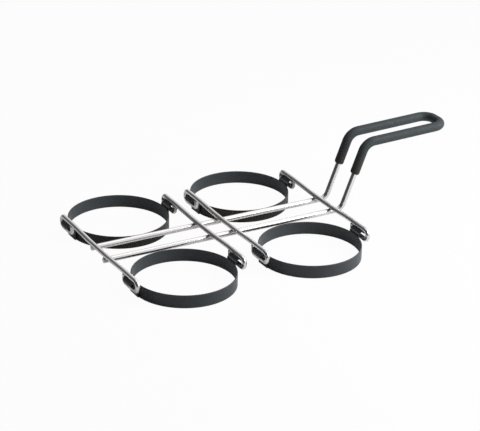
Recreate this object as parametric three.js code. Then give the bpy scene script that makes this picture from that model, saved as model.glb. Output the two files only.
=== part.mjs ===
// Four-ring egg ring for a griddle: four coated steel bands that float in a welded wire frame.
// Two rails of one bent handle wire carry four cross rods. Each rod ends in a closed eye, and a hook
// strap on the side of each ring is trapped in the eye, so the rings settle on the griddle by themselves.
// Units are millimetres, +Z is up, the rings stand on z = 0 and the handle points along +X.

import * as THREE from 'three';

// Rings
const RING_DIAMETER = 100;
const BAND_HEIGHT = 13;
const BAND_THICKNESS = 1;
const BAND_EDGE_CHAMFER = 0.25;

// Cross rods and the eyes at their ends
const ROD_DIAMETER = 4.8;
const ROD_DIP = 1.25;
const DIP_BEND_RADIUS = 150;
const MIDDLE_ROD_SPACING = 25;
const SIDE_PLAY = 1.3;
const LIFT_PLAY = 3.4;
const TIP_BEND_RADIUS = 3.6;

// Hook straps on the rings
const STRAP_THICKNESS = 1;
const STRAP_WIDTH = 16;
const STRAP_INSET = 1.2;
const HOOK_RISE = 4.4;
const HOOK_THROAT = 1.8;
const HOOK_SIDE_GAP = 0.5;
const HOOK_LEAN_DEG = 45;
const LIP_LENGTH = 1;
const LIP_CORNER_RADIUS = 4;
const FOOT_BEND_RADIUS = 1.5;
const FOOT_CLEARANCE = 0.5;

// Handle wire: rails, legs, arms and the end of the loop
const HANDLE_WIRE_DIAMETER = 5.5;
const RAIL_SPACING = 30;
const RAIL_TO_RING_GAP = 2.75;
const RAIL_OVERHANG = 1.7;
const RAIL_STAGGER = 1.5;
const RAIL_RUN_OUT = 6.4;
const LEG_LEAN_DEG = 21.6;
const LEG_BEND_RADIUS = 9;
const HANDLE_HEIGHT = 80;
const ARM_BEND_RADIUS = 14;
const ARM_RISE_DEG = 1.6;
const ARM_LENGTH = 92.7;
const LOOP_END_STRAIGHT = 8;

// Grip sleeve over the handle wire
const GRIP_DIAMETER = 9.4;
const GRIP_LEG_COVER = 33.4;

// Clearances between pieces that are welded, pushed on or seated
const WELD_GAP = 0.3;
const SEAT_GAP = 0.3;
const SLEEVE_GAP = 0.3;

// Facets
const BAND_SEGMENTS = 72;
const WIRE_SIDES = 12;
const GRIP_SIDES = 16;
const BEND_STEP = THREE.MathUtils.degToRad(15);

// Derived: heights
const rodRadius = ROD_DIAMETER / 2;
const handleRadius = HANDLE_WIRE_DIAMETER / 2;
const hookTop = BAND_HEIGHT + HOOK_RISE;
const rodZ = hookTop + SEAT_GAP + rodRadius;
const eyeOpening = SEAT_GAP + STRAP_THICKNESS + LIFT_PLAY + SEAT_GAP;
const eyeBendRadius = (eyeOpening + ROD_DIAMETER) / 2;
const eyeLegZ = rodZ - 2 * eyeBendRadius;
const railZ = rodZ - ROD_DIP - rodRadius - WELD_GAP - handleRadius;

// Derived: places across and along the handle
const rodStandoff = SEAT_GAP + STRAP_THICKNESS + HOOK_THROAT + rodRadius;
const rodReach = RING_DIAMETER / 2 + rodStandoff;
const ringX = MIDDLE_ROD_SPACING / 2 + rodReach;
const lastRodX = ringX + rodReach;
const railY = RAIL_SPACING / 2;
const ringY = railY + handleRadius + RAIL_TO_RING_GAP + RING_DIAMETER / 2;
const strapY = ringY - STRAP_INSET;
const loopBendRadius = (RAIL_SPACING - LOOP_END_STRAIGHT) / 2;

// The frame stands pushed to the left in the straps' side play, up to a seat gap from their edges.
const frameY = SEAT_GAP - SIDE_PLAY;

const steel = { color: 0xc8cccf, roughness: 0.2, metalness: 1 };
const coating = { color: 0x26282a, roughness: 0.5, metalness: 0.2 };
const vinyl = { color: 0x4a5457, roughness: 0.9, metalness: 0 };

function piece(name, geometry, finish) {
  const mesh = new THREE.Mesh(geometry, new THREE.MeshStandardMaterial(finish));
  mesh.name = name;
  return mesh;
}

function direction(from, to) {
  return to.clone().sub(from).normalize();
}

// Distance from a corner to where its bend starts.
function setback(turn, radius) {
  return radius * Math.tan(turn / 2);
}

// Stations, each a point and a tangent, round one bend of a wire or strip.
function bend(before, corner, after, radius) {
  const incoming = direction(before, corner);
  const outgoing = direction(corner, after);
  const turn = incoming.angleTo(outgoing);
  const axis = incoming.clone().cross(outgoing).normalize();
  const inward = outgoing.clone().sub(incoming).normalize();
  const centre = corner.clone().addScaledVector(inward, radius / Math.cos(turn / 2));
  const start = corner.clone().addScaledVector(incoming, -setback(turn, radius));
  const steps = Math.ceil(turn / BEND_STEP);
  return Array.from({ length: steps + 1 }, (_, step) => {
    const angle = (turn * step) / steps;
    const point = start.clone().sub(centre).applyAxisAngle(axis, angle).add(centre);
    return { point, tangent: incoming.clone().applyAxisAngle(axis, angle) };
  });
}

// Stations along straight runs through the corners, with a round bend at each inner corner.
// Two bends that meet without a straight run between them share one station.
function bentPath(corners, radii) {
  const last = corners.length - 1;
  const stations = [{ point: corners[0], tangent: direction(corners[0], corners[1]) }];
  for (let i = 1; i < last; i += 1) {
    stations.push(...bend(corners[i - 1], corners[i], corners[i + 1], radii[i - 1]));
  }
  stations.push({ point: corners[last], tangent: direction(corners[last - 1], corners[last]) });
  const apart = (station, i) => i === 0 || station.point.distanceTo(stations[i - 1].point) > 1e-6;
  return stations.filter(apart);
}

// A curve that steps from station to station, so that an extrusion has rings only where it bends.
class StationCurve extends THREE.Curve {
  constructor(stations) {
    super();
    this.stations = stations;
  }

  at(u) {
    return this.stations[Math.round(u * (this.stations.length - 1))];
  }

  getPointAt(u, target = new THREE.Vector3()) {
    return target.copy(this.at(u).point);
  }

  getTangentAt(u, target = new THREE.Vector3()) {
    return target.copy(this.at(u).tangent);
  }
}

function circle(Outline, radius, sides) {
  const corner = (_, i) => {
    const angle = (2 * Math.PI * i) / sides;
    return new THREE.Vector2(radius * Math.cos(angle), radius * Math.sin(angle));
  };
  return new Outline(Array.from({ length: sides }, corner));
}

function extrudeAlong(section, stations) {
  return new THREE.ExtrudeGeometry(section, {
    steps: stations.length - 1,
    extrudePath: new StationCurve(stations),
    bevelEnabled: false,
  });
}

// A rolled band with chamfered edges, turned about the ring's own axis.
function ringBand() {
  const outer = RING_DIAMETER / 2;
  const inner = outer - BAND_THICKNESS;
  const c = BAND_EDGE_CHAMFER;
  const profile = [
    [inner + c, 0],
    [outer - c, 0],
    [outer, c],
    [outer, BAND_HEIGHT - c],
    [outer - c, BAND_HEIGHT],
    [inner + c, BAND_HEIGHT],
    [inner, BAND_HEIGHT - c],
    [inner, c],
    [inner + c, 0],
  ].map(([radius, height]) => new THREE.Vector2(radius, height));
  return new THREE.LatheGeometry(profile, BAND_SEGMENTS).rotateX(Math.PI / 2);
}

// Stations of a hook strap's middle line, with x outwards and y up: a foot up the ring's wall, a lean
// outwards, a crown over the eye's leg and a short lip, with stations close together where its end is rounded.
function strapPath() {
  const half = STRAP_THICKNESS / 2;
  const lean = THREE.MathUtils.degToRad(HOOK_LEAN_DEG);
  const crownRadius = rodRadius + HOOK_SIDE_GAP + half;
  const crownZ = hookTop - half - crownRadius;
  const footX = RING_DIAMETER / 2 + SEAT_GAP + half;
  const lipX = rodReach + crownRadius;
  const leanAt = (x) => crownZ + crownRadius / Math.cos(lean) + (x - rodReach) * Math.tan(lean);
  const corners = [
    new THREE.Vector3(footX, FOOT_CLEARANCE, 0),
    new THREE.Vector3(footX, leanAt(footX), 0),
    new THREE.Vector3(lipX, leanAt(lipX), 0),
    new THREE.Vector3(lipX, crownZ - LIP_LENGTH, 0),
  ];
  const stations = bentPath(corners, [FOOT_BEND_RADIUS, crownRadius]);
  const end = stations.pop();
  for (let angle = Math.PI / 2 - BEND_STEP; angle > -BEND_STEP / 2; angle -= BEND_STEP) {
    const rise = LIP_CORNER_RADIUS * (1 - Math.cos(angle));
    const point = end.point.clone().addScaledVector(end.tangent, -rise);
    if (rise < LIP_LENGTH) stations.push({ point, tangent: end.tangent });
  }
  return stations;
}

// Half the width of a strap at a distance from the end of its lip, whose corners are rounded.
function strapHalfWidth(fromEnd) {
  const toCentre = Math.max(LIP_CORNER_RADIUS - fromEnd, 0);
  return STRAP_WIDTH / 2 - LIP_CORNER_RADIUS + Math.sqrt(LIP_CORNER_RADIUS ** 2 - toCentre ** 2);
}

// A hook strap: a flat section carried along the strap's middle line, stood upright with its width on y.
function hookStrap() {
  const half = STRAP_THICKNESS / 2;
  const stations = strapPath();
  const last = stations.length - 1;
  const fromEnd = Array(last + 1).fill(0);
  for (let i = last - 1; i >= 0; i -= 1) {
    fromEnd[i] = fromEnd[i + 1] + stations[i].point.distanceTo(stations[i + 1].point);
  }
  const section = [[half, 1], [half, -1], [-half, -1], [-half, 1]];
  const positions = stations.flatMap(({ point, tangent }, i) =>
    section.flatMap(([offset, side]) => [
      point.x - offset * tangent.y,
      side * strapHalfWidth(fromEnd[i]),
      point.y + offset * tangent.x,
    ]),
  );
  const faces = [0, 2, 1, 0, 3, 2];
  for (let i = 0; i < last; i += 1) {
    for (let k = 0; k < 4; k += 1) {
      const [a, b] = [4 * i + k, 4 * i + ((k + 1) % 4)];
      faces.push(a, b, b + 4, a, b + 4, a + 4);
    }
  }
  faces.push(...[0, 1, 2, 0, 2, 3].map((corner) => 4 * last + corner));
  const geometry = new THREE.BufferGeometry();
  geometry.setAttribute('position', new THREE.Float32BufferAttribute(positions, 3));
  geometry.setIndex(faces);
  geometry.computeVertexNormals();
  return geometry;
}

// Stations of a path that comes down the right side, given at +Y, and goes back up the left side,
// whose corners are given at +Y too and mirrored. The radii are those of one side's bends.
function mirroredPath(right, left, radii) {
  const mirror = (corner) => new THREE.Vector3(corner.x, -corner.y, corner.z);
  const back = [...left].reverse().map(mirror);
  return bentPath([...right, ...back], [...radii, ...[...radii].reverse()]);
}

// One cross rod with a closed eye at each end: the wire turns down from a tip at the rod's underside, runs
// out below the hook strap and turns back over itself into the rod, which dips to the rails.
function crossRod() {
  const innerEnd = strapY - STRAP_WIDTH / 2 - SIDE_PLAY - TIP_BEND_RADIUS;
  const outerEnd = strapY + STRAP_WIDTH / 2 + SIDE_PLAY + eyeBendRadius;
  const side = [
    new THREE.Vector3(0, innerEnd, rodZ - rodRadius - WELD_GAP),
    new THREE.Vector3(0, innerEnd, eyeLegZ),
    new THREE.Vector3(0, outerEnd, eyeLegZ),
    new THREE.Vector3(0, outerEnd, rodZ),
    new THREE.Vector3(0, innerEnd - ROD_DIAMETER, rodZ),
    new THREE.Vector3(0, railY + HANDLE_WIRE_DIAMETER, rodZ - ROD_DIP),
  ];
  const radii = [TIP_BEND_RADIUS, eyeBendRadius, eyeBendRadius, DIP_BEND_RADIUS, DIP_BEND_RADIUS];
  return extrudeAlong(circle(THREE.Shape, rodRadius, WIRE_SIDES), mirroredPath(side, side, radii));
}

// The free end of a rail, at +Y, past the first cross rod.
function railEnd(overhang) {
  return new THREE.Vector3(-lastRodX - overhang, railY, railZ);
}

// The handle's other corner points on its +Y side, from the foot of the leg to the end of the loop.
function handleSide() {
  const lean = THREE.MathUtils.degToRad(LEG_LEAN_DEG);
  const rise = THREE.MathUtils.degToRad(ARM_RISE_DEG);
  const legX = lastRodX + RAIL_RUN_OUT + setback(Math.PI / 2 - lean, LEG_BEND_RADIUS);
  const armX = legX + (HANDLE_HEIGHT - railZ) * Math.tan(lean);
  const legCorner = new THREE.Vector3(legX, railY, railZ);
  const armCorner = new THREE.Vector3(armX, railY, HANDLE_HEIGHT);
  const along = new THREE.Vector3(Math.cos(rise), 0, Math.sin(rise));
  const loopCorner = armCorner.clone().addScaledVector(along, ARM_LENGTH);
  return [legCorner, armCorner, loopCorner];
}

// One wire: both rails, both legs, both arms and the end of the loop. The right rail is cut shorter.
function handleWire() {
  const right = [railEnd(RAIL_OVERHANG - RAIL_STAGGER), ...handleSide()];
  const left = [railEnd(RAIL_OVERHANG), ...handleSide()];
  const stations = mirroredPath(right, left, [LEG_BEND_RADIUS, ARM_BEND_RADIUS, loopBendRadius]);
  return extrudeAlong(circle(THREE.Shape, handleRadius, WIRE_SIDES), stations);
}

// A vinyl sleeve over the loop, the arms and the upper part of the legs.
function gripSleeve() {
  const [legCorner, armCorner, loopCorner] = handleSide();
  const sleeveEnd = armCorner.clone().addScaledVector(direction(armCorner, legCorner), GRIP_LEG_COVER);
  const side = [sleeveEnd, armCorner, loopCorner];
  const section = circle(THREE.Shape, GRIP_DIAMETER / 2, GRIP_SIDES);
  section.holes.push(circle(THREE.Path, handleRadius + SLEEVE_GAP, GRIP_SIDES));
  return extrudeAlong(section, mirroredPath(side, side, [ARM_BEND_RADIUS, loopBendRadius]));
}

// A ring on one side of the handle with its two hook straps, one towards the front and one towards the
// handle, both a little nearer to the rails than the ring's middle.
function ring(name, x, side) {
  const group = new THREE.Group();
  group.position.set(x, side * ringY, 0);
  const frontHook = piece(`${name}_hook_front`, hookStrap(), coating);
  frontHook.rotation.z = Math.PI;
  const backHook = piece(`${name}_hook_back`, hookStrap(), coating);
  frontHook.position.y = -side * STRAP_INSET;
  backHook.position.y = -side * STRAP_INSET;
  group.add(piece(`${name}_band`, ringBand(), coating), frontHook, backHook);
  return group;
}

function wireFrame() {
  const group = new THREE.Group();
  group.position.y = frameY;
  group.add(piece('handle_wire', handleWire(), steel), piece('grip_sleeve', gripSleeve(), vinyl));
  const rodPlaces = [-lastRodX, rodReach - ringX, ringX - rodReach, lastRodX];
  rodPlaces.forEach((x, i) => {
    const rod = piece(`cross_rod_${i + 1}`, crossRod(), steel);
    rod.position.x = x;
    group.add(rod);
  });
  return group;
}

// Left and right are as seen by a cook who holds the handle.
const eggRing = new THREE.Group();
eggRing.add(
  wireFrame(),
  ring('front_left', -ringX, -1),
  ring('front_right', -ringX, 1),
  ring('back_left', ringX, -1),
  ring('back_right', ringX, 1),
);

// The origin is on the griddle, under the middle of the whole tool.
const bounds = new THREE.Box3().setFromObject(eggRing);
eggRing.position.x = -(bounds.min.x + bounds.max.x) / 2;

export default eggRing;
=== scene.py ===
"""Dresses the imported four-ring egg ring: bent wires, coated hoops, hook straps, sleeve, welds and a studio.

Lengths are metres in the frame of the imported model: +X along the handle, +Z up, the rings stand on z = 0.
"""

import bpy
import numpy as np
from bpy.props import FloatProperty, FloatVectorProperty, PointerProperty
from mathutils import Matrix, Vector


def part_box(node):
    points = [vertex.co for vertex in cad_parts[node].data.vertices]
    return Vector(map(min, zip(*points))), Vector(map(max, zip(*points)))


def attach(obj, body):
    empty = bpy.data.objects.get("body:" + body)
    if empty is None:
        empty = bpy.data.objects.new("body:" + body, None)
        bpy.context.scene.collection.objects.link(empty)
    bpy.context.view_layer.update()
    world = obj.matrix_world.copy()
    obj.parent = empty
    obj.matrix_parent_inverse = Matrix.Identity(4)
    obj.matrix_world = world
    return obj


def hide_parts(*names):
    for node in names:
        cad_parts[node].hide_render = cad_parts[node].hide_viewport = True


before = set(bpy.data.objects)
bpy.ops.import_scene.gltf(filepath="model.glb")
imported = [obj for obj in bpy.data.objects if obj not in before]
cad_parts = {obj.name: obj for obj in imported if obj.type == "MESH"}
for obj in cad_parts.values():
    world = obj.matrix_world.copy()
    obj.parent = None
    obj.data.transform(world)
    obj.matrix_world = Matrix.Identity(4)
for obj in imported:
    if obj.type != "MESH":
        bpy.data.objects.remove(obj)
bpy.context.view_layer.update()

bl_info = {
    "name": "Four-ring egg ring",
    "version": (1, 0, 0),
    "blender": (4, 5, 0),
    "location": "3D View > Sidebar > Egg ring",
    "description": "Dresses the wire frame, hoops and sleeve of a four-ring egg ring",
    "category": "Object",
}

MM = 0.001

# Pieces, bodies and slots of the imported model
FRAME_BODY = "wire_frame"
RINGS = ("front_left", "front_right", "back_left", "back_right")
RODS = ("cross_rod_1", "cross_rod_2", "cross_rod_3", "cross_rod_4")
HOOK_SIDES = {"hook_front": -1.0, "hook_back": 1.0}
WIRE_SLOT = "polished_wire"
COATING_SLOT = "black_coating"
GRIP_SLOT = "grip_vinyl"

# Directions, the last of which lies along no run of the handle wire
ALONG_HANDLE = np.array([1.0, 0.0, 0.0])
ALONG_ROD = np.array([0.0, 1.0, 0.0])
ASLANT = np.array([1.0, 1.0, -1.0]) / np.sqrt(3.0)

# Steps along paths, and numbers of points round sections and edges
WIRE_STEP = 2.5 * MM
WIRE_BEND_STEP = np.radians(5.0)
SLEEVE_STEP = 1.5 * MM
STRAP_STEP = 0.3 * MM
STRAP_BEND_STEP = np.radians(6.0)
HOOP_STEPS = 240
HOOP_FLAT_POINTS = 14
STRAP_FLAT_POINTS = 36
NARROW_FLAT_POINTS = 2
EDGE_POINTS = 6
DOME_POINTS = 12
ROD_SIDES = 32
HANDLE_SIDES = 36
SLEEVE_SIDES = 40
WELD_SIDES = 28
WELD_ROWS = 13
WELD_ROW_STEP = 0.1 * MM
SAME_POINT = 1e-7

# How much of a strap's section its cut ends may take away, and the least rise of an upright foot
LARGEST_SHRINK = 0.98
UPRIGHT = 0.999

# Rubbed rims, partly a painted highlight, fade over this many edge radii, and the sleeve's painted shade
# grows between these shares of its leg cover
RIM_REACH = 3.0
PAINTED_SHADE_FROM = 0.125
PAINTED_SHADE_TO = 0.75

# Strength of the weld tint, partly painted shade where rods meet rails, and the distance over which it fades,
# with the rods whose eye tips show it as a painted dark reflection
RODS_WITH_PAINTED_TIPS = ("cross_rod_2", "cross_rod_4")
ROD_TINT_AND_SHADE = 0.5
ROD_TINT_AND_SHADE_REACH = 3.0 * MM
# Painted dark reflection on the eye tips of the listed rods
TIP_PAINTED_REFLECTION = 0.9
TIP_PAINTED_REFLECTION_REACH = 5.0 * MM
RAIL_TINT_AND_SHADE = 0.8
RAIL_TINT_AND_SHADE_REACH = 4.5 * MM
WELD_TINT_AND_SHADE = 0.8

# Polished wire: drawn lines along and round it, haze, and the ranges of its roughness
DRAWN_LINES = (30.0, 70.0, 1.0)
DRAWN_DEPTH = 0.0008 * MM
DRAWN_RANGE = (0.6, 1.4)
HAZE_SCALE = 140.0
HAZE_RANGE = (0.0, 0.5)

# Coating: orange peel, uneven gloss and worn rims with a painted highlight
PEEL_SCALE = 1600.0
PEEL_DEPTH = 0.02 * MM
COATING_CLOUD_SCALE = 90.0
COATING_RANGE = (0.85, 1.15)
WEAR_SCALE = 420.0
WEAR_LIMITS = (0.38, 0.62)
COATING_IOR = 1.34

# Sleeve: grain with darker pores, and uneven gloss
GRAIN_SCALE = 2600.0
GRAIN_DEPTH = 0.06 * MM
PORE_SHADE = 0.72
GRIP_CLOUD_SCALE = 120.0
GRIP_RANGE = (0.9, 1.1)
GRIP_IOR = 1.3

# The whole range of a share, and the range that most values of a noise texture lie in
WHOLE = (0.0, 1.0)
USUAL_NOISE = (0.3, 0.7)

# Floor and softboxes in metres, and plain white
FLOOR_HALF = 6.0
KEY_PLACE = (0.57, -0.4, 0.485)
KEY_SIDE = 0.5
TOP_PLACE = (0.1, 0.3, 1.5)
TOP_SIDE = 1.4
WHITE = (1.0, 1.0, 1.0, 1.0)

# Gloss sees the studio brighten between these X parts of its direction, as a power
GLOSS_LIMITS = (-0.62, 0.54)
GLOSS_POWER = 1.8

# Camera: the width of its sensor in millimetres, and how far it sees in metres
SENSOR_WIDTH = 36.0
CLIP_END = 50.0


# Properties


def length(name, description, millimetres, lowest=0.0):
    """A length property, given in millimetres and kept in metres."""
    return FloatProperty(
        name=name,
        description=description,
        default=millimetres * MM,
        min=lowest,
        precision=5,
        unit="LENGTH",
        subtype="DISTANCE",
    )


def degrees(name, description, value):
    """An angle property, given in degrees and kept in radians."""
    return FloatProperty(
        name=name, description=description, default=np.radians(value), unit="ROTATION", subtype="ANGLE"
    )


def share(name, description, value):
    """A property between 0 and 1."""
    return FloatProperty(
        name=name, description=description, default=value, min=0.0, max=1.0, subtype="FACTOR"
    )


def watts(name, description, value):
    """The power of a lamp."""
    return FloatProperty(
        name=name, description=description, default=value, min=0.0, unit="POWER", subtype="POWER"
    )


def focal_length(name, description, value):
    """The focal length of a lens in millimetres."""
    return FloatProperty(
        name=name, description=description, default=value, min=1.0, unit="CAMERA", subtype="DISTANCE_CAMERA"
    )


def colour(name, description, value):
    """A linear colour property."""
    return FloatVectorProperty(
        name=name, description=description, default=value, min=0.0, max=1.0, size=3, subtype="COLOR"
    )


class EggRingSizes(bpy.types.PropertyGroup):
    """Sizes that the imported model's boxes don't give."""

    band_thickness: length("Band thickness", "Wall of a hoop", 1.0)
    band_edge: length("Band edge", "Rounding of a hoop's rims", 0.4)
    strap_thickness: length("Strap thickness", "Sheet that the hook straps are bent from", 1.0)
    strap_edge: length("Strap edge", "Rounding of a strap's edges", 0.28)
    strap_lean: degrees("Strap lean", "Lean of a strap from its foot to its crown", 45.0)
    strap_foot_bend: length("Foot bend", "Bend between a strap's foot and its lean", 1.5)
    strap_lip: length("Strap lip", "Length of a hook's lip below its crown", 1.0)
    lip_corner: length("Lip corner", "Rounding of the corners of a hook's lip", 4.0)
    # Painted highlight: a bright line along each strap's lean, with its height and width
    rub_drop: length("Rub drop", "Height from a strap's crown down to the bright line along its lean", 2.7)
    rub_spread: length("Rub spread", "Half width of the bright line", 0.45)
    # The hoops' outer walls that face the frame take a painted shade, turned by this angle
    baked_turn: degrees("Baked turn", "How far a hoop's browned side is turned away from the handle", 32.0)
    spot_radius: length("Spot weld radius", "Radius of a spot weld's dimple", 1.7)
    spot_depth: length("Spot weld depth", "Depth of a spot weld's dimple", 0.16)
    rod_slide: length("Rod slide", "How far the rods have slid to the left in the straps' side play", 1.2)
    tip_gap_left: length("Left tip gap", "Gap between a left eye's tip and the strap in it", 0.3)
    tip_gap_right: length("Right tip gap", "Gap between a right eye's tip and the strap in it", 1.5)
    tip_bend: length("Tip bend", "Bend between the leg of an eye and its tip", 3.0)
    tip_bite: length("Tip bite", "How far an eye's tip is sunk into the rod by its weld", 0.4)
    rod_dip: length("Rod dip", "How far a rod dips from its ends to the rails", 1.25)
    rod_dip_bend: length("Rod dip bend", "Bends at the ends of a rod's dip", 150.0)
    wire_end_edge: length("Wire end edge", "Rounding of a wire's cut end", 0.5)
    rail_stagger: length("Rail stagger", "How much shorter the right rail is cut", 1.5)
    handle_radius: length("Handle wire radius", "Half the thickness of the handle wire", 2.75)
    leg_lean: degrees("Leg lean", "Lean of the handle's legs from upright", 21.6)
    leg_bend: length("Leg bend", "Bend from a rail to a leg", 9.0)
    arm_bend: length("Arm bend", "Bend from a leg to an arm", 14.0)
    arm_rise: degrees("Arm rise", "Rise of the arms towards the loop", 1.6)
    arm_length: length("Arm length", "From the arm bend's corner to the loop's end", 92.7)
    loop_straight: length("Loop straight", "Straight run at the loop's end", 8.0)
    grip_leg_cover: length("Grip cover", "Length of leg under the sleeve, from the arm bend's corner", 33.4)
    grip_radius: length("Grip radius", "Half the thickness of the sleeve", 4.69)
    grip_fit: length("Grip fit", "Gap between the sleeve and the wire in it", 0.05)
    grip_dome: length("Grip dome", "Depth of the sleeve's rounded ends", 2.4)
    weld_neck: length("Weld neck", "Radius of a crossing weld at its waist", 1.5)
    weld_flare: length("Weld flare", "How far a weld spreads onto each wire", 0.7)
    weld_bite: length("Weld bite", "How far a weld reaches into the wires", 0.2)


class EggRingFinishes(bpy.types.PropertyGroup):
    """Colours and gloss of the three finishes."""

    wire_colour: colour("Wire colour", "Polished steel", (0.88, 0.86, 0.86))
    # Weld tint, also used as painted shade where rods cross rails and as a painted dark reflection at some
    # eye tips
    wire_tint: colour("Weld tint", "Dark tint that welding leaves on the wire", (0.16, 0.14, 0.125))
    wire_roughness: share("Wire roughness", "Mean roughness of the polished wire", 0.1)
    coating_colour: colour("Coating colour", "Black non-stick coating", (0.063, 0.073, 0.08))
    # Rims partly worn and partly lit as a painted highlight
    coating_rim: colour("Rim colour", "Coating where it is rubbed along the rims", (0.09, 0.098, 0.104))
    # Painted shade on the hoops' outer walls that face the frame
    coating_baked: colour("Baked tone", "Browned walls that face the frame", (0.024, 0.022, 0.02))
    # Painted highlight along the lean of a strap
    coating_rub: colour("Rub colour", "Bright line worn along the lean of a strap", (0.3, 0.3, 0.305))
    coating_roughness: share("Coating roughness", "Mean roughness of the coating", 0.36)
    grip_colour: colour("Sleeve colour", "Slate sleeve", (0.064, 0.077, 0.083))
    # Painted shade on the sleeve's lower legs
    grip_browned: colour("Browned sleeve", "Sleeve near its ends, browned by heat", (0.05, 0.047, 0.044))
    grip_roughness: share("Sleeve roughness", "Mean roughness of the sleeve", 0.62)


class EggRingStudio(bpy.types.PropertyGroup):
    """Camera, floor and light."""

    camera_azimuth: degrees("Azimuth", "Direction of the camera round the object", -29.269)
    camera_elevation: degrees("Elevation", "Height angle of the camera", 24.474)
    camera_roll: degrees("Roll", "Tilt of the camera about its own axis", 1.058)
    camera_distance: length("Distance", "From the camera to the point it looks at", 1996.6)
    camera_target_x: length("Target X", "Point looked at, along the handle", -13.183, lowest=-1.0)
    camera_target_y: length("Target Y", "Point looked at, along the rods", 41.158, lowest=-1.0)
    camera_lens: focal_length("Lens", "Focal length of the camera", 149.085)
    floor_colour: colour("Floor colour", "Pale floor", (0.9, 0.9, 0.9))
    floor_glow: share("Floor glow", "Share of plain white in what the camera sees of the floor", 0.96)
    floor_gloss: share("Floor gloss", "Share of plain white in what reflections show of the floor", 0.1)
    sky_level: share("Sky level", "Soft light from all round, where 1 is white", 0.12)
    dark_side: share("Dark side", "What gloss sees of the unlit side of the studio", 0.06)
    bright_side: share("Bright side", "What gloss sees of the lit side of the studio", 0.96)
    key_power: watts("Key power", "Softbox at the right, towards the camera", 6.5)
    top_power: watts("Top power", "Overhead softbox", 3.0)


def sizes():
    """The scene's sizes."""
    return bpy.context.scene.egg_ring_sizes


def finishes():
    """The scene's colours and gloss."""
    return bpy.context.scene.egg_ring_finishes


def studio():
    """The scene's camera, floor and light."""
    return bpy.context.scene.egg_ring_studio


# Surfaces


def unit(vectors):
    """Vectors divided by their lengths."""
    return vectors / np.linalg.norm(vectors, axis=-1, keepdims=True)


def repeated(vector, count):
    """The same vector in each of count rows."""
    return np.tile(vector, (count, 1))


def straight(start, end, step):
    """Points from start to end, both included, about one step apart."""
    count = max(2, int(np.ceil(np.linalg.norm(end - start) / step)) + 1)
    return start + np.linspace(0.0, 1.0, count)[:, None] * (end - start)


def bent_path(corners, radii, run_step=WIRE_STEP, bend_step=WIRE_BEND_STEP):
    """Points and tangents of a wire with straight runs between corners and an arc of its radius at each.

    With unit directions a into a corner and b out of it, and m the part of b square to a, a bend that
    turns by T starts at corner - R tan(T / 2) a and runs through start + R (sin(s) a + (1 - cos(s)) m)
    with tangent cos(s) a + sin(s) m, for s from 0 to T.
    """
    corners = np.asarray(corners, float)
    ways = unit(np.diff(corners, axis=0))
    points, tangents = [], []
    run_start = corners[0]
    for corner, way_in, way_out, radius in zip(corners[1:-1], ways[:-1], ways[1:], radii):
        turn = np.arccos(np.clip(way_in @ way_out, -1.0, 1.0))
        inward = unit(way_out - (way_out @ way_in) * way_in)
        bend_start = corner - radius * np.tan(turn / 2) * way_in
        s = np.linspace(0.0, turn, int(np.ceil(turn / bend_step)) + 1)[:, None]
        run = straight(run_start, bend_start, run_step)[:-1]
        points += [run, bend_start + radius * (np.sin(s) * way_in + (1 - np.cos(s)) * inward)[:-1]]
        tangents += [repeated(way_in, len(run)), (np.cos(s) * way_in + np.sin(s) * inward)[:-1]]
        run_start = corner + radius * np.tan(turn / 2) * way_out
    run = straight(run_start, corners[-1], run_step)
    points = np.concatenate([*points, run])
    tangents = np.concatenate([*tangents, repeated(ways[-1], len(run))])
    apart = np.r_[True, np.linalg.norm(np.diff(points, axis=0), axis=1) > SAME_POINT]
    return points[apart], tangents[apart]


def from_ends(points):
    """Straight distance from each point of a path to the nearer of its two ends."""
    return np.minimum(*(np.linalg.norm(points - end, axis=1) for end in (points[0], points[-1])))


def path_length(points):
    """Distance along a path at each of its points."""
    return np.r_[0.0, np.cumsum(np.linalg.norm(np.diff(points, axis=0), axis=1))]


def with_ends(points, tangents, radius, edge):
    """A wire's stations with rounded ends: points, tangents and the wire's radius at each station.

    At an end, the radius goes from 0 at the cut face's centre to R - e, and then round its edge as
    R - e + e sin(f), at e (1 - cos(f)) from the cut, for f from 0 to a quarter turn.
    """
    f = np.linspace(0.0, np.pi / 2, EDGE_POINTS)
    depth = np.r_[0.0, edge * (1 - np.cos(f))]
    cap_radii = np.r_[0.0, radius - edge + edge * np.sin(f)]
    head = points[0] + depth[:, None] * tangents[0]
    tail = points[-1] - depth[::-1, None] * tangents[-1]
    inner = from_ends(points) > edge
    count = len(depth)
    return (
        np.concatenate([head, points[inner], tail]),
        np.concatenate([repeated(tangents[0], count), tangents[inner], repeated(tangents[-1], count)]),
        np.concatenate([cap_radii, np.full(inner.sum(), radius), cap_radii[::-1]]),
    )


def tube_grid(points, tangents, radii, sides, reference):
    """Circles carried along a path: point + radius (cos(v) n + sin(v) b), one row for each station.

    n is the reference direction made square to the tangent, and b is tangent x n.
    """
    v = np.linspace(0.0, 2 * np.pi, sides, endpoint=False)
    across = unit(reference - (tangents @ reference)[:, None] * tangents)
    aside = np.cross(tangents, across)
    circle = np.cos(v)[:, None] * across[:, None] + np.sin(v)[:, None] * aside[:, None]
    return points[:, None] + radii[:, None, None] * circle


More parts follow.
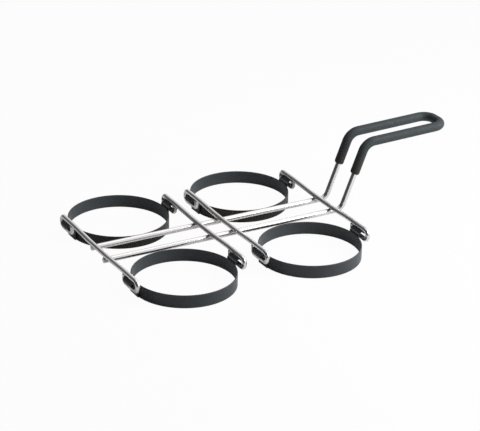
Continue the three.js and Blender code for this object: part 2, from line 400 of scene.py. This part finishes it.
def rounded_strip(thickness, width, edge, flat_points):
    """Outline of a strip's section, anticlockwise, and how close each point is to its long edges.

    Each corner is an arc of radius edge, and the flats between them are evenly divided. The second
    result is 1 on the arcs and falls evenly to 0 along the wide faces.
    """
    half = np.array([thickness, width]) / 2 - edge
    arc = np.linspace(0.0, np.pi / 2, EDGE_POINTS)
    corners = [(1, 1), (-1, 1), (-1, -1), (1, -1)]
    parts = []
    for turn, corner in enumerate(corners):
        angle = arc + turn * np.pi / 2
        centre = half * corner
        after = half * corners[(turn + 1) % 4]
        parts.append(centre + edge * np.stack([np.cos(angle), np.sin(angle)], axis=-1))
        count = flat_points if turn % 2 else NARROW_FLAT_POINTS
        share_along = np.linspace(0.0, 1.0, count + 2)[1:-1, None]
        leave = parts[-1][-1]
        parts.append(leave + share_along * (after - centre))
    outline = np.concatenate(parts)
    from_arc = width / 2 - np.abs(outline[:, 1]) - edge
    return outline, np.clip(1 - from_arc / (RIM_REACH * edge), 0.0, 1.0)


def tint_near(points, places, reach):
    """Weld tint, partly painted shade, at each point: exp(-(d / reach) ** 2) for the distance d to the
    nearest weld.
    """
    apart = np.linalg.norm(points[..., None, :] - np.asarray(places), axis=-1).min(axis=-1)
    return np.exp(-((apart / reach) ** 2))


def grid_faces(rows, columns, wrap_rows):
    """Quads of a grid that closes on itself across its columns, and along its rows where asked."""
    i, j = np.meshgrid(np.arange(rows if wrap_rows else rows - 1), np.arange(columns), indexing="ij")
    after_i, after_j = (i + 1) % rows, (j + 1) % columns
    corners = [i * columns + j, i * columns + after_j, after_i * columns + after_j, after_i * columns + j]
    return np.stack(corners, axis=-1).reshape(-1, 4)


def past_seam(numbers, count):
    """Row or column numbers of each quad's corners, counted on where the quad crosses the seam."""
    crosses = numbers.max(axis=1, keepdims=True) == count - 1
    return np.where((numbers == 0) & crosses, count, numbers)


def new_object(name, data):
    """An object with that data, linked to the scene."""
    thing = bpy.data.objects.new(name, data)
    bpy.context.scene.collection.objects.link(thing)
    return thing


def grid_object(name, grid, along, values, wrap_rows=False, flip=False):
    """An object from a grid of points that closes across its columns.

    Rows at the ends whose points all coincide become one pole. The UV map "surface" runs along the rows
    in metres, and once round the columns. values maps an attribute's name to a number for each point.
    """
    rows, columns = grid.shape[:2]
    quads = grid_faces(rows, columns, wrap_rows)
    index = np.arange(rows * columns)
    for row in (0, rows - 1):
        if np.ptp(grid[row], axis=0).max() < SAME_POINT:
            index[row * columns:(row + 1) * columns] = row * columns
    quads = quads[:, ::-1] if flip else quads
    row_step = np.r_[along, 2 * along[-1] - along[-2]]
    row_of = past_seam(quads // columns, rows)
    column_of = past_seam(quads % columns, columns)
    uv = np.stack([row_step[row_of], column_of / columns], axis=-1)
    used, packed = np.unique(index[quads], return_inverse=True)
    packed = packed.reshape(quads.shape)
    keep = packed != np.roll(packed, 1, axis=1)
    faces = [face[mask].tolist() for face, mask in zip(packed, keep)]
    mesh = bpy.data.meshes.new(name)
    mesh.from_pydata(grid.reshape(-1, 3)[used], [], faces)
    layer = mesh.uv_layers.new(name="surface")
    layer.data.foreach_set("uv", uv[keep].astype(np.float32).ravel())
    for key, numbers in values.items():
        stored = mesh.attributes.new(key, "FLOAT", "POINT")
        stored.data.foreach_set("value", np.asarray(numbers, np.float32).ravel()[used])
    mesh.shade_smooth()
    mesh.update()
    return new_object(name, mesh)


def dress(piece, body, slot, finish, *nodes):
    """Gives a piece its finish, sets it on a body and lets it stand for its nodes.

    A finish is a function that makes the material of its own name, and is called on its first use.
    """
    piece.data.materials.append(bpy.data.materials.get(finish.__name__) or finish())
    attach(piece, body)
    if nodes:
        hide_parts(*nodes)


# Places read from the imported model


def box(node):
    """Lowest and highest corner of a node as arrays."""
    return tuple(np.array(corner, float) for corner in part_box(node))


def ring_place(ring):
    """Centre, outer radius and height of a hoop."""
    low, high = box(f"{ring}_band")
    return (low + high)[:2] / 2, (high[0] - low[0]) / 2, high[2]


def rod_place(rod):
    """X of a rod, its radius, its axis height and the height of its eyes' lower legs."""
    low, high = box(rod)
    radius = (high[0] - low[0]) / 2
    return (low[0] + high[0]) / 2, radius, high[2] - radius, low[2] + radius


def frame_y():
    """Y of the wire frame's middle, which stands a little to the left of the rings' middle."""
    low, high = box("handle_wire")
    return (low[1] + high[1]) / 2


def rail_y():
    """Distance of a rail from the frame's middle."""
    low, high = box("handle_wire")
    return (high[1] - low[1]) / 2 - sizes().handle_radius


def rail_z():
    """Height of the rails' axes."""
    return box("handle_wire")[0][2] + sizes().handle_radius


def rail_ends():
    """X of the free ends of the left and the right rail."""
    left = box("handle_wire")[0][0]
    return left, left + sizes().rail_stagger


def rod_ends(rod, side):
    """Distances from the frame's middle of an eye's tip and of the rod's end, right (1) or left (-1)."""
    size = sizes()
    low, high = box(rod)
    radius = rod_place(rod)[1]
    strap = box("back_right_hook_back")[0][1] if side > 0 else -box("back_left_hook_back")[1][1]
    gap = size.tip_gap_right if side > 0 else size.tip_gap_left
    tip = strap - gap - radius - side * frame_y()
    return tip, (high[1] - low[1]) / 2 - radius - side * size.rod_slide


def rod_side(rod, side):
    """Corner points on one half of a rod, as on the right: the eye from its tip, the turn back, the dip."""
    size = sizes()
    x, radius, axis_z, leg_z = rod_place(rod)
    tip, outer = rod_ends(rod, side)
    dip_start, dip_end = tip - 2 * radius, rail_y() + 2 * size.handle_radius
    return np.array(
        [
            [x, tip, axis_z - radius + size.tip_bite],
            [x, tip, leg_z],
            [x, outer, leg_z],
            [x, outer, axis_z],
            [x, dip_start, axis_z],
            [x, dip_end, axis_z - size.rod_dip],
        ]
    )


def rod_welds(rod):
    """Places where a rod is welded to its left and its right rail, on the rod's underside."""
    x, radius, axis_z, _ = rod_place(rod)
    return [(x, frame_y() + y, axis_z - sizes().rod_dip - radius) for y in (-rail_y(), rail_y())]


def tip_welds(rod):
    """Places of the welds between a rod and the tips of its eyes, a little below the rod."""
    x, _, axis_z, leg_z = rod_place(rod)
    return [(x, frame_y() + side * rod_ends(rod, side)[0], (axis_z + leg_z) / 2) for side in (-1, 1)]


def handle_side():
    """Corner points on the handle's right side, from the foot of the leg to the loop's end."""
    size = sizes()
    high = box("handle_wire")[1]
    y, foot_z = rail_y(), rail_z()
    rise = np.array([np.cos(size.arm_rise), 0.0, np.sin(size.arm_rise)])
    loop_z = high[2] - size.handle_radius * np.cos(size.arm_rise)
    loop = np.array([high[0] - size.handle_radius, y, loop_z])
    arm = loop - size.arm_length * rise
    leg = np.array([arm[0] - (arm[2] - foot_z) * np.tan(size.leg_lean), y, foot_z])
    return np.array([leg, arm, loop])


def loop_bend():
    """Radius of the bends at the loop's end."""
    return rail_y() - sizes().loop_straight / 2


def both_sides(right, left):
    """Corners along the frame's right side and back along its left, both given as on the right."""
    mirrored = left[::-1] * [1.0, -1.0, 1.0]
    return np.concatenate([right, mirrored]) + [0.0, frame_y(), 0.0]


# Finishes


def put(tree, socket, value):
    """Links a socket to a node's output, or sets its value."""
    if isinstance(value, bpy.types.NodeSocket):
        tree.links.new(value, socket)
    else:
        socket.default_value = value


def add_node(tree, kind, settings=None, **inputs):
    """Adds a node, sets its options, and sets or links its inputs by name."""
    node = tree.nodes.new(kind)
    for key, value in (settings or {}).items():
        setattr(node, key, value)
    for key, value in inputs.items():
        put(tree, node.inputs[key.replace("_", " ")], value)
    return node


def combine(tree, operation, first, second):
    """Two numbers combined by a Math node."""
    node = add_node(tree, "ShaderNodeMath", {"operation": operation})
    put(tree, node.inputs[0], first)
    put(tree, node.inputs[1], second)
    return node.outputs["Value"]


def spread(tree, value, onto, limits=USUAL_NOISE):
    """Maps a value between the limits, by default a noise's usual ones, evenly onto another pair."""
    return add_node(
        tree,
        "ShaderNodeMapRange",
        {"clamp": True},
        Value=value,
        From_Min=limits[0],
        From_Max=limits[1],
        To_Min=onto[0],
        To_Max=onto[1],
    ).outputs["Result"]


def scaled(number, limits):
    """Both limits times a number."""
    return tuple(number * limit for limit in limits)


def opaque(value):
    """A colour with full alpha."""
    return (*value, 1.0)


def mix_colours(tree, factor, first, second):
    """A colour between two colours."""
    node = add_node(tree, "ShaderNodeMix", {"data_type": "RGBA"}, Factor=factor)
    colours = [socket for socket in node.inputs if socket.type == "RGBA"]
    put(tree, colours[0], first)
    put(tree, colours[1], second)
    return next(socket for socket in node.outputs if socket.type == "RGBA")


def mix_shaders(tree, factor, first, second, output):
    """Ends a node tree in a mix of two shaders."""
    both = tree.nodes.new("ShaderNodeMixShader")
    put(tree, both.inputs[0], factor)
    put(tree, both.inputs[1], first)
    put(tree, both.inputs[2], second)
    add_node(tree, output, Surface=both.outputs["Shader"])


def surface_vector(tree, scale):
    """The surface's own UV coordinates, scaled."""
    uv = add_node(tree, "ShaderNodeUVMap", {"uv_map": "surface"}).outputs["UV"]
    return add_node(tree, "ShaderNodeMapping", Vector=uv, Scale=scale).outputs["Vector"]


def object_vector(tree):
    """The piece's object coordinates in metres."""
    return add_node(tree, "ShaderNodeTexCoord").outputs["Object"]


def attribute(tree, name):
    """A number stored on the mesh's points. The renderer keeps some names, such as heat, for volumes."""
    return add_node(tree, "ShaderNodeAttribute", {"attribute_name": name}).outputs["Fac"]


def noise(tree, vector, scale, detail=3.0):
    """The value of a noise texture."""
    return add_node(tree, "ShaderNodeTexNoise", Vector=vector, Scale=scale, Detail=detail).outputs["Fac"]


def bump(tree, height, distance):
    """A normal raised by a height of that distance in metres."""
    node = add_node(tree, "ShaderNodeBump", Height=height, Distance=distance, Strength=1.0)
    return node.outputs["Normal"]


def camera_ray(tree):
    """1 for rays from the camera, and 0 for the rest."""
    return tree.nodes.new("ShaderNodeLightPath").outputs["Is Camera Ray"]


def seen_ray(tree):
    """1 for rays from the camera, reflections and refractions, and 0 for the rest."""
    path = tree.nodes.new("ShaderNodeLightPath")
    mirrored = combine(tree, "MAXIMUM", path.outputs["Is Glossy Ray"], path.outputs["Is Transmission Ray"])
    return combine(tree, "MAXIMUM", mirrored, path.outputs["Is Camera Ray"])


def blank_material(name):
    """A node material with an empty Principled shader."""
    material = bpy.data.materials.new(name)
    material.use_nodes = True
    return material, material.node_tree, material.node_tree.nodes["Principled BSDF"]


def bright_wire():
    """Drawn and polished steel: fine lines along the wire, faint haze, and a dark weld tint.

    At the crossings the tint is partly painted shade, and at some eye tips it is a painted dark reflection.
    """
    finish = finishes()
    material, tree, shader = blank_material("bright_wire")
    lines = noise(tree, surface_vector(tree, DRAWN_LINES), scale=1.0)
    haze = noise(tree, object_vector(tree), HAZE_SCALE, detail=2.0)
    streaks = spread(tree, lines, scaled(finish.wire_roughness, DRAWN_RANGE))
    clouding = spread(tree, haze, scaled(finish.wire_roughness, HAZE_RANGE))
    plain, dark = opaque(finish.wire_colour), opaque(finish.wire_tint)
    # The weld tint mixed in here is partly painted shade at the crossings and a painted dark reflection at
    # some eye tips
    tinted = mix_colours(tree, attribute(tree, "weld_tint_and_painted_shade"), plain, dark)
    put(tree, shader.inputs["Base Color"], tinted)
    put(tree, shader.inputs["Roughness"], combine(tree, "ADD", streaks, clouding))
    put(tree, shader.inputs["Normal"], bump(tree, lines, DRAWN_DEPTH))
    put(tree, shader.inputs["Metallic"], 1.0)
    return material


def satin_coating():
    """Satin non-stick coating: a fine orange peel, uneven gloss, rubbed rims with a painted highlight,
    painted shade on the walls that face the frame, and a painted highlight line along each strap's lean.
    """
    finish = finishes()
    material, tree, shader = blank_material("satin_coating")
    place = object_vector(tree)
    peel = noise(tree, place, PEEL_SCALE)
    cloud = noise(tree, place, COATING_CLOUD_SCALE)
    wear = spread(tree, noise(tree, place, WEAR_SCALE, detail=4.0), WHOLE, WEAR_LIMITS)
    # Rims worn at random, and lighter there as a painted highlight
    worn_and_lit = combine(tree, "MULTIPLY", attribute(tree, "rim"), wear)
    tone = mix_colours(tree, worn_and_lit, opaque(finish.coating_colour), opaque(finish.coating_rim))
    # Painted shade on the outer walls that face the frame
    shade_painted = mix_colours(tree, attribute(tree, "painted_shade"), tone, opaque(finish.coating_baked))
    # Painted highlight: a bright line along the lean of each strap
    highlighted = mix_colours(tree, attribute(tree, "painted_highlight"), shade_painted, opaque(finish.coating_rub))
    gloss = spread(tree, cloud, scaled(finish.coating_roughness, COATING_RANGE))
    put(tree, shader.inputs["Base Color"], highlighted)
    put(tree, shader.inputs["Roughness"], gloss)
    put(tree, shader.inputs["Normal"], bump(tree, peel, PEEL_DEPTH))
    put(tree, shader.inputs["IOR"], COATING_IOR)
    return material


def grip_cover():
    """Matt slate sleeve: a dense fine grain with soft pores, and a painted shade on the lower legs."""
    finish = finishes()
    material, tree, shader = blank_material("grip_cover")
    place = object_vector(tree)
    grain = noise(tree, place, GRAIN_SCALE)
    cloud = noise(tree, place, GRIP_CLOUD_SCALE)
    pores = opaque(scaled(PORE_SHADE, finish.grip_colour))
    tone = mix_colours(tree, spread(tree, grain, WHOLE), pores, opaque(finish.grip_colour))
    # Painted shade on the lower legs
    shade_painted = mix_colours(tree, attribute(tree, "painted_shade"), tone, opaque(finish.grip_browned))
    gloss = spread(tree, cloud, scaled(finish.grip_roughness, GRIP_RANGE))
    put(tree, shader.inputs["Base Color"], shade_painted)
    put(tree, shader.inputs["Roughness"], gloss)
    put(tree, shader.inputs["Normal"], bump(tree, grain, GRAIN_DEPTH))
    put(tree, shader.inputs["IOR"], GRIP_IOR)
    return material


# Operators, one for each group of like pieces


class EGGRING_OT_bands(bpy.types.Operator):
    """Makes the four coated hoops with rounded rims"""

    bl_idname = "egg_ring.bands"
    bl_label = "Hoops"

    def execute(self, context):
        for ring in RINGS:
            self.make_band(ring)
        return {"FINISHED"}

    @staticmethod
    def make_band(ring):
        """A rounded upright strip turned about the hoop's axis.

        The strip's outline is a rectangle whose corners are arcs of the edge radius, given as
        (radius from the axis, height), and the surface is (r cos(u), r sin(u), h) about the centre.
        The outer face gets a painted shade where it looks at the frame and a little away from the handle, as
        the square root of the cosine to that direction.
        """
        size = sizes()
        centre, outer, height = ring_place(ring)
        outline, rim = rounded_strip(size.band_thickness, height, size.band_edge, HOOP_FLAT_POINTS)
        radii = outer - size.band_thickness / 2 + outline[:, 0]
        heights = height / 2 + outline[:, 1]
        u = np.linspace(0.0, 2 * np.pi, HOOP_STEPS, endpoint=False)[:, None]
        grid = np.stack(
            [
                centre[0] + radii * np.cos(u),
                centre[1] + radii * np.sin(u),
                np.broadcast_to(heights, (len(u), len(heights))),
            ],
            axis=-1,
        )
        turn = size.baked_turn
        # Painted shade: how much the outer face looks at the frame
        facing = -np.cos(u) * np.sin(turn) - np.sign(centre[1]) * np.sin(u) * np.cos(turn)
        values = {
            "rim": np.broadcast_to(rim, grid.shape[:2]),
            "painted_shade": np.sqrt(np.clip(facing, 0.0, 1.0)) * (outline[:, 0] > 0),
        }
        piece = grid_object(f"{ring}_hoop", grid, outer * u[:, 0], values, wrap_rows=True)
        dress(piece, f"{ring}_ring", COATING_SLOT, satin_coating, f"{ring}_band")


class EGGRING_OT_hook_straps(bpy.types.Operator):
    """Makes the hook straps that hang the hoops in the eyes of the rods"""

    bl_idname = "egg_ring.hook_straps"
    bl_label = "Hook straps"

    def execute(self, context):
        for ring in RINGS:
            for hook, side in HOOK_SIDES.items():
                self.make_strap(ring, hook, side)
        return {"FINISHED"}

    @staticmethod
    def centreline(ring, hook, side):
        """Corners and bend radii of a strap's middle line: up the foot, out along the lean, over and down.

        The crown is an arc about the rod's X that touches the lean and the lip.
        """
        size = sizes()
        low, high = box(f"{ring}_{hook}")
        half = size.strap_thickness / 2
        centre, outer, _ = ring_place(ring)
        rods = [rod_place(rod)[0] for rod in RODS]
        rod_x = min(rods, key=lambda x: abs(x - centre[0] - side * outer))
        foot_x, lip_x = (low[0] + half, high[0] - half) if side > 0 else (high[0] - half, low[0] + half)
        crown = abs(lip_x - rod_x)
        crown_z = high[2] - half - crown
        foot_top, lip_top = (
            crown_z + crown / np.cos(size.strap_lean) + side * (x - rod_x) * np.tan(size.strap_lean)
            for x in (foot_x, lip_x)
        )
        y = (low[1] + high[1]) / 2
        lip_end = crown_z - size.strap_lip
        corners = [[foot_x, y, low[2]], [foot_x, y, foot_top], [lip_x, y, lip_top], [lip_x, y, lip_end]]
        return np.array(corners), [size.strap_foot_bend, crown]

    @classmethod
    def make_strap(cls, ring, hook, side):
        """A rounded strip carried along the strap's middle line, with two spot welds pressed into its foot.

        A point is path + a n + b y, where (a, b) is on the strip's outline, n is square to the path and
        y lies along the rod. The cut ends shrink the outline round their edges, b shrinks along a quarter
        circle at the lip's corners, and a dimple moves the outer face by -depth exp(-(d / radius) ** 4)
        at the distance d from its centre, at half the hoop's height and a quarter of the width from the
        middle. The painted highlight line is exp(-(d / spread) ** 2) at the distance d from its height, on
        the inner face where the strap rises.
        """
        size = sizes()
        path = bent_path(*cls.centreline(ring, hook, side), STRAP_STEP, STRAP_BEND_STEP)
        points, tangents, kept = with_ends(*path, size.strap_edge, size.strap_edge)
        shrink = size.strap_edge - kept[:, None]
        low, high = box(f"{ring}_{hook}")
        width = high[1] - low[1]
        outline, rim = rounded_strip(size.strap_thickness, width, size.strap_edge, STRAP_FLAT_POINTS)
        across = np.cross(ALONG_ROD, tangents) * side
        limits = np.abs(outline).max(axis=0)
        inset = 1 - np.minimum(shrink, limits * LARGEST_SHRINK) / limits
        run = path_length(points)
        to_centre = np.maximum(size.lip_corner - (run[-1] - run), 0.0)
        narrow = 1 - (size.lip_corner - np.sqrt(size.lip_corner**2 - to_centre**2)) / (width / 2)
        a = outline[:, 0] * inset[:, :1]
        b = outline[:, 1] * inset[:, 1:] * narrow[:, None]
        rise = tangents[:, 2:]
        from_spots = np.hypot(np.abs(b) - width / 4, points[:, 2:] - ring_place(ring)[2] / 2)
        pressed = np.exp(-((from_spots / size.spot_radius) ** 4)) * (a > 0) * (rise > UPRIGHT)
        out = a - size.spot_depth * pressed
        grid = points[:, None] + out[..., None] * across[:, None] + b[..., None] * ALONG_ROD
        grid[[0, -1]] = points[[0, -1], None]
        # Painted highlight line along the inner face of the strap's lean
        from_line = high[2] - grid[..., 2] - size.rub_drop
        values = {
            "rim": np.broadcast_to(rim, grid.shape[:2]),
            "painted_highlight": np.exp(-((from_line / size.rub_spread) ** 2)) * (a < 0) * (rise > 0),
        }
        piece = grid_object(f"{ring}_{hook}_strap", grid, run, values, flip=side > 0)
        dress(piece, f"{ring}_ring", COATING_SLOT, satin_coating, f"{ring}_{hook}")


class EGGRING_OT_cross_rods(bpy.types.Operator):
    """Makes the cross rods with a closed eye at each end"""

    bl_idname = "egg_ring.cross_rods"
    bl_label = "Cross rods"

    def execute(self, context):
        for rod in RODS:
            self.make_rod(rod)
        return {"FINISHED"}

    @staticmethod
    def make_rod(rod):
        """A round wire along the rod's corners, tinted at the rails, partly as painted shade, and on some
        rods at the eyes' tips as a painted dark reflection.
        """
        size = sizes()
        _, radius, axis_z, leg_z = rod_place(rod)
        eye_bend = (axis_z - leg_z) / 2
        bends = [size.tip_bend, eye_bend, eye_bend, size.rod_dip_bend, size.rod_dip_bend]
        path = bent_path(both_sides(rod_side(rod, 1), rod_side(rod, -1)), bends + bends[::-1])
        points, tangents, radii = with_ends(*path, radius, size.wire_end_edge)
        grid = tube_grid(points, tangents, radii, ROD_SIDES, ALONG_HANDLE)
        # Weld tint near the rails, partly painted shade
        tint = ROD_TINT_AND_SHADE * tint_near(grid, rod_welds(rod), ROD_TINT_AND_SHADE_REACH)
        # Painted dark reflection on the eye tips of these rods, drawn with the weld tint
        if rod in RODS_WITH_PAINTED_TIPS:
            tint = np.maximum(tint, TIP_PAINTED_REFLECTION * tint_near(grid, tip_welds(rod), TIP_PAINTED_REFLECTION_REACH))
        piece = grid_object(f"{rod}_wire", grid, path_length(points), {"weld_tint_and_painted_shade": tint})
        dress(piece, FRAME_BODY, WIRE_SLOT, bright_wire, rod)


class EGGRING_OT_handle(bpy.types.Operator):
    """Makes the handle wire: rails, legs, arms and loop in one bent wire"""

    bl_idname = "egg_ring.handle"
    bl_label = "Handle wire"

    def execute(self, context):
        """A round wire along the handle's corners, tinted where the rods are welded to it, partly as painted
        shade.
        """
        size = sizes()
        side = handle_side()
        left, right = (np.concatenate([[[x, *side[0, 1:]]], side]) for x in rail_ends())
        bends = [size.leg_bend, size.arm_bend, loop_bend()]
        path = bent_path(both_sides(right, left), bends + bends[::-1])
        points, tangents, radii = with_ends(*path, size.handle_radius, size.wire_end_edge)
        grid = tube_grid(points, tangents, radii, HANDLE_SIDES, ASLANT)
        welds = [weld for rod in RODS for weld in rod_welds(rod)]
        # Weld tint where the rods cross the rails, partly painted shade
        tint = RAIL_TINT_AND_SHADE * tint_near(grid, welds, RAIL_TINT_AND_SHADE_REACH)
        piece = grid_object("handle_bent_wire", grid, path_length(points), {"weld_tint_and_painted_shade": tint})
        dress(piece, FRAME_BODY, WIRE_SLOT, bright_wire, "handle_wire")
        return {"FINISHED"}


class EGGRING_OT_grip(bpy.types.Operator):
    """Makes the sleeve over the loop, the arms and the upper legs"""

    bl_idname = "egg_ring.grip"
    bl_label = "Grip sleeve"

    def execute(self, context):
        """A tube with a bore and domed ends: the outer face runs one way along the path and the bore back.

        At an end, the radius is inner + (outer - inner) cos(f) at dome (1 - sin(f)) from the cut, for f
        from 0 to a quarter turn. The tone darkens evenly with the drop below the arm bend's corner, as
        painted shade.
        """
        size = sizes()
        leg, arm, loop = handle_side()
        side = np.array([arm + size.grip_leg_cover * unit(leg - arm), arm, loop])
        bends = [size.arm_bend, loop_bend()]
        points, tangents = bent_path(both_sides(side, side), bends + bends[::-1], SLEEVE_STEP)
        outer, inner = size.grip_radius, size.handle_radius + size.grip_fit
        f = np.linspace(0.0, np.pi / 2, DOME_POINTS)
        depth = size.grip_dome * (1 - np.sin(f))[:, None]
        dome = inner + (outer - inner) * np.cos(f)
        between = from_ends(points) > size.grip_dome
        run, ways = points[between], tangents[between]
        stations = [run, points[-1] - depth * tangents[-1], run[::-1], points[0] + depth[::-1] * tangents[0]]
        heading = [ways, repeated(tangents[-1], len(f)), ways[::-1], repeated(tangents[0], len(f))]
        widths = [np.full(len(run), outer), dome, np.full(len(run), inner), dome[::-1]]
        stations, heading, widths = (np.concatenate(parts) for parts in (stations, heading, widths))
        grid = tube_grid(stations, heading, widths, SLEEVE_SIDES, ASLANT)
        # Painted shade, darker with the drop down the legs
        drop = (arm[2] - grid[..., 2]) / size.grip_leg_cover
        shade_painted = np.clip((drop - PAINTED_SHADE_FROM) / (PAINTED_SHADE_TO - PAINTED_SHADE_FROM), 0.0, 1.0)
        along = path_length(stations)
        piece = grid_object("grip_sleeve_cover", grid, along, {"painted_shade": shade_painted}, wrap_rows=True)
        dress(piece, FRAME_BODY, GRIP_SLOT, grip_cover, "grip_sleeve")
        return {"FINISHED"}


class EGGRING_OT_welds(bpy.types.Operator):
    """Makes the welds between the rods and the rails"""

    bl_idname = "egg_ring.welds"
    bl_label = "Welds"

    def execute(self, context):
        for rod in RODS:
            for side, place, rail_end in zip(("left", "right"), rod_welds(rod), rail_ends()):
                self.make_weld(f"{rod}_weld_{side}", rod_place(rod)[1], place, rail_end)
        return {"FINISHED"}

    @staticmethod
    def make_weld(name, rod_radius, place, rail_end):
        """A waisted plug between a rod's underside and the rail below it.

        Its radius is neck + flare s ** 2 for s from -1 to 1, and its height runs evenly from the rail's
        surface to the rod's at each point, plus a small bite into both. It stops at the rail's free end.
        """
        size = sizes()
        x, y, under = place
        s = np.linspace(-1.0, 1.0, WELD_ROWS)
        v = np.linspace(0.0, 2 * np.pi, WELD_SIDES, endpoint=False)
        reach = np.r_[0.0, size.weld_neck + size.weld_flare * s**2, 0.0][:, None]
        rise = (np.r_[s[0], s, s[-1]][:, None] + 1) / 2
        dx = np.maximum(reach * np.cos(v), rail_end + size.wire_end_edge - x)
        dy = reach * np.sin(v)
        low = rail_z() + np.sqrt(size.handle_radius**2 - dy**2) - size.weld_bite
        high = under + rod_radius - np.sqrt(rod_radius**2 - dx**2) + size.weld_bite
        grid = np.stack([x + dx, y + dy, low + (high - low) * rise], axis=-1)
        # The weld plugs are darkened as painted shade in the gap between rod and rail, on top of their weld
        # tint
        tint = np.full(dx.shape, WELD_TINT_AND_SHADE)
        piece = grid_object(name, grid, WELD_ROW_STEP * np.arange(len(grid)), {"weld_tint_and_painted_shade": tint})
        dress(piece, FRAME_BODY, WIRE_SLOT, bright_wire)


class EGGRING_OT_studio(bpy.types.Operator):
    """Sets the floor, the soft light and the camera"""

    bl_idname = "egg_ring.studio"
    bl_label = "Studio"

    def execute(self, context):
        self.make_floor()
        self.make_world()
        self.make_lamp("key_softbox", studio().key_power, KEY_PLACE, KEY_SIDE)
        self.make_lamp("top_softbox", studio().top_power, TOP_PLACE, TOP_SIDE)
        self.make_camera()
        context.scene.view_settings.view_transform = "Standard"
        return {"FINISHED"}

    @staticmethod
    def make_floor():
        """A wide pale floor that the camera sees nearly plain white, with a light shadow."""
        corners = FLOOR_HALF * np.array([[-1, -1, 0], [1, -1, 0], [1, 1, 0], [-1, 1, 0]])
        mesh = bpy.data.meshes.new("floor")
        mesh.from_pydata(corners, [], [(0, 1, 2, 3)])
        new_object("floor", mesh)
        material = bpy.data.materials.new("floor_white")
        material.use_nodes = True
        tree = material.node_tree
        tree.nodes.clear()
        pale = add_node(tree, "ShaderNodeBsdfDiffuse", Color=opaque(studio().floor_colour))
        glow = add_node(tree, "ShaderNodeEmission", Color=WHITE, Strength=1.0)
        seen = combine(tree, "MULTIPLY", seen_ray(tree), studio().floor_gloss)
        straight_on = combine(tree, "MULTIPLY", camera_ray(tree), studio().floor_glow)
        plain_white = combine(tree, "MAXIMUM", seen, straight_on)
        mix_shaders(
            tree, plain_white, pale.outputs["BSDF"], glow.outputs["Emission"], "ShaderNodeOutputMaterial"
        )
        mesh.materials.append(material)

    @staticmethod
    def make_world():
        """White to the camera, dark at the left and white at the right to gloss, and soft light to the rest.

        What gloss sees rises as a power of the X part of its direction.
        """
        world = bpy.data.worlds.new("studio")
        bpy.context.scene.world = world
        world.use_nodes = True
        tree = world.node_tree
        tree.nodes.clear()
        way = add_node(tree, "ShaderNodeTexCoord").outputs["Generated"]
        x = add_node(tree, "ShaderNodeSeparateXYZ", Vector=way).outputs["X"]
        curve = combine(tree, "POWER", spread(tree, x, WHOLE, GLOSS_LIMITS), GLOSS_POWER)
        side = spread(tree, curve, (studio().dark_side, studio().bright_side), WHOLE)
        plain = combine(tree, "MAXIMUM", side, camera_ray(tree))
        white = add_node(tree, "ShaderNodeBackground", Color=plain, Strength=1.0).outputs["Background"]
        soft = add_node(tree, "ShaderNodeBackground", Color=WHITE, Strength=studio().sky_level)
        mix_shaders(tree, seen_ray(tree), soft.outputs["Background"], white, "ShaderNodeOutputWorld")

    @staticmethod
    def make_lamp(name, power, place, side):
        """A square softbox that faces the origin."""
        lamp = bpy.data.lights.new(name, "AREA")
        lamp.energy, lamp.size = power, side
        holder = new_object(name, lamp)
        holder.location = place
        holder.rotation_euler = (-Vector(place)).to_track_quat("-Z", "Y").to_euler()

    @staticmethod
    def make_camera():
        """A long lens at the photographed angle, turned a little about its own axis."""
        view = studio()
        az, el, roll = view.camera_azimuth, view.camera_elevation, view.camera_roll
        back = np.array([np.sin(az) * np.cos(el), -np.cos(az) * np.cos(el), np.sin(el)])
        level = np.array([np.cos(az), np.sin(az), 0.0])
        upright = np.cross(back, level)
        right = np.cos(roll) * level + np.sin(roll) * upright
        up = np.cross(back, right)
        place = np.array([view.camera_target_x, view.camera_target_y, 0.0]) + back * view.camera_distance
        lens = bpy.data.cameras.new("camera")
        lens.lens, lens.sensor_width, lens.sensor_fit = view.camera_lens, SENSOR_WIDTH, "HORIZONTAL"
        lens.clip_end = CLIP_END
        camera = new_object("camera", lens)
        axes = Matrix(np.stack([right, up, back], axis=1).tolist()).to_4x4()
        camera.matrix_world = Matrix.Translation(place.tolist()) @ axes
        bpy.context.scene.camera = camera


# Panel and registration

OPERATORS = (
    EGGRING_OT_bands,
    EGGRING_OT_hook_straps,
    EGGRING_OT_cross_rods,
    EGGRING_OT_handle,
    EGGRING_OT_grip,
    EGGRING_OT_welds,
    EGGRING_OT_studio,
)


class EGGRING_PT_panel(bpy.types.Panel):
    """Lists the steps that dress the egg ring"""

    bl_idname = "EGGRING_PT_panel"
    bl_label = "Egg ring"
    bl_space_type = "VIEW_3D"
    bl_region_type = "UI"
    bl_category = "Egg ring"

    def draw(self, context):
        for operator in OPERATORS:
            self.layout.operator(operator.bl_idname)
        for group in (sizes(), finishes(), studio()):
            column = self.layout.column()
            for key in group.__annotations__:
                column.prop(group, key)


GROUPS = {
    "egg_ring_sizes": EggRingSizes,
    "egg_ring_finishes": EggRingFinishes,
    "egg_ring_studio": EggRingStudio,
}


def register():
    """Registers the classes and gives the scene its properties."""
    for group in GROUPS.values():
        bpy.utils.register_class(group)
    for key, group in GROUPS.items():
        setattr(bpy.types.Scene, key, PointerProperty(type=group))
    for cls in (*OPERATORS, EGGRING_PT_panel):
        bpy.utils.register_class(cls)


def unregister():
    """Takes the scene's properties and the classes away again."""
    for cls in (EGGRING_PT_panel, *OPERATORS[::-1]):
        bpy.utils.unregister_class(cls)
    for key in GROUPS:
        delattr(bpy.types.Scene, key)
    for group in GROUPS.values():
        bpy.utils.unregister_class(group)


def main():
    """Dresses the part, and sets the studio."""
    register()
    bpy.ops.egg_ring.bands()
    bpy.ops.egg_ring.hook_straps()
    bpy.ops.egg_ring.cross_rods()
    bpy.ops.egg_ring.handle()
    bpy.ops.egg_ring.grip()
    bpy.ops.egg_ring.welds()
    bpy.ops.egg_ring.studio()


if __name__ == "__main__":
    main()
